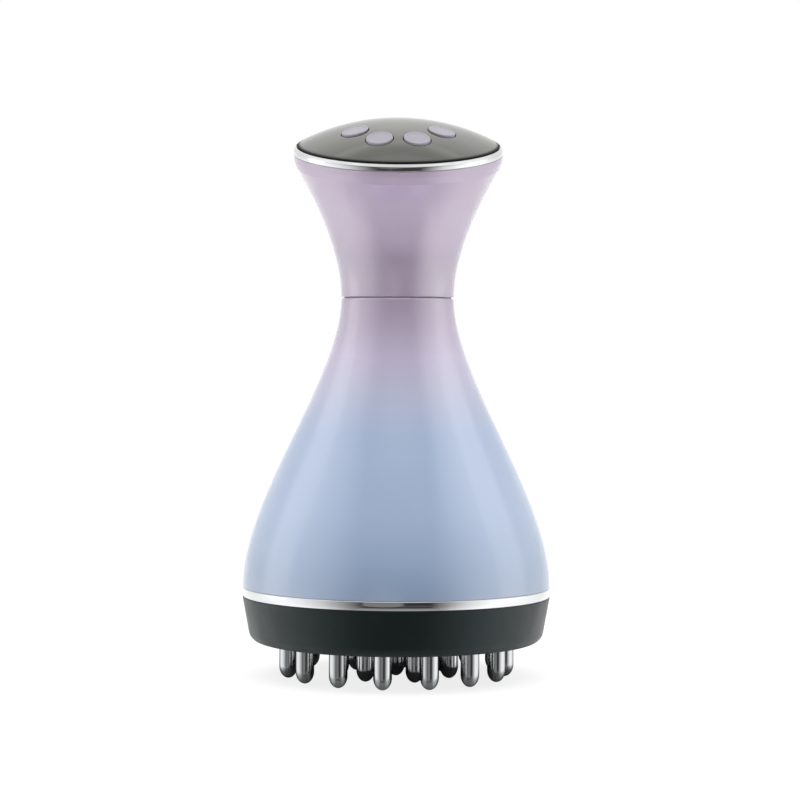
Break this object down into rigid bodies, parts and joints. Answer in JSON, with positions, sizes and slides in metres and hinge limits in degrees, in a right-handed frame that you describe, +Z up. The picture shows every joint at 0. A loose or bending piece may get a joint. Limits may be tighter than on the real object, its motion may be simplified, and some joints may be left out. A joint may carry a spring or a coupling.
{
  "type": "electric massage brush",
  "caption": "Handheld cordless scalp massage brush: waisted two-part shell on a dark base with metal pins, tilted control panel with round buttons and chrome trims.",
  "frame": {"origin": "middle of the brush's footprint, on the plane that the tips of the pins stand on", "axes": "+Z up along the axis of the base and lower shell; -Y is the front, towards which the head and its buttons lean; +X is to the right as seen from the front"},
  "size_m": [0.0749, 0.0748, 0.136],
  "materials": {
    "lower_shell_paint": "satin-gloss paint fading from mauve at the waist to pale blue",
    "upper_shell_paint": "satin-gloss mauve paint",
    "chrome_trim": "bright chrome plating",
    "chrome_pins": "bright chrome plating",
    "panel_plastic": "high gloss",
    "button_plastic": "satin",
    "base_plastic": "fine matte",
    "dark_plastic": "moulded",
    "circuit_board": "solder mask",
    "gasket_rubber": "matte",
    "screw_steel": "zinc plated",
    "motor_steel": "bright",
    "weight_brass": "turned",
    "end_cap_plastic": "moulded",
    "battery_wrap": "shrink wrap over a metal can",
    "tab_nickel": "nickel strip",
    "wire_sleeve": "soft sleeve"
  },
  "bodies": {
    "housing": {"lower_shell": "lower_shell_paint", "upper_shell": "upper_shell_paint", "neck_sleeve": "dark_plastic", "head_trim_ring": "chrome_trim", "control_panel": "panel_plastic", "tact_switches": "dark_plastic", "control_board": "circuit_board", "control_board_screws": "screw_steel", "lower_trim_band": "chrome_trim", "base_cover": "base_plastic", "base_gasket": "gasket_rubber", "base_screws": "screw_steel", "outer_massage_pins": "chrome_pins", "inner_massage_pins": "chrome_pins", "centre_massage_pin": "chrome_pins", "contact_board": "circuit_board", "contact_board_screws": "screw_steel", "chassis": "dark_plastic", "chassis_screws": "screw_steel", "motor_boot": "gasket_rubber", "motor_can": "motor_steel", "motor_end_cap": "end_cap_plastic", "battery_cradle": "dark_plastic", "battery_cradle_screws": "screw_steel", "battery_cell": "battery_wrap", "battery_tabs": "tab_nickel", "main_board": "circuit_board", "main_board_screws": "screw_steel", "charge_socket": "motor_steel", "head_cable": "wire_sleeve", "motor_leads": "wire_sleeve", "battery_leads": "wire_sleeve"},
    "key_far_left": {"button_far_left": "button_plastic"},
    "key_near_left": {"button_near_left": "button_plastic"},
    "key_near_right": {"button_near_right": "button_plastic"},
    "key_far_right": {"button_far_right": "button_plastic"},
    "motor_rotor": {"motor_shaft": "motor_steel", "eccentric_weight": "weight_brass"}
  },
  "joints": [
    {"name": "press_far_left", "type": "slide", "parent": "housing", "child": "key_far_left", "axis": [0, 0.2504, -0.9681], "range_m": [0, 0.0005], "stiffness_N_per_m": 2000, "springref_m": -0.0005},
    {"name": "press_near_left", "type": "slide", "parent": "housing", "child": "key_near_left", "axis": [0, 0.2504, -0.9681], "range_m": [0, 0.0005], "stiffness_N_per_m": 2000, "springref_m": -0.0005},
    {"name": "press_near_right", "type": "slide", "parent": "housing", "child": "key_near_right", "axis": [0, 0.2504, -0.9681], "range_m": [0, 0.0005], "stiffness_N_per_m": 2000, "springref_m": -0.0005},
    {"name": "press_far_right", "type": "slide", "parent": "housing", "child": "key_far_right", "axis": [0, 0.2504, -0.9681], "range_m": [0, 0.0005], "stiffness_N_per_m": 2000, "springref_m": -0.0005},
    {"name": "motor_spin", "type": "hinge", "parent": "housing", "child": "motor_rotor", "pos_m": [0, 0, 0.0185], "axis": [0, 0, 1], "continuous": true}
  ]
}
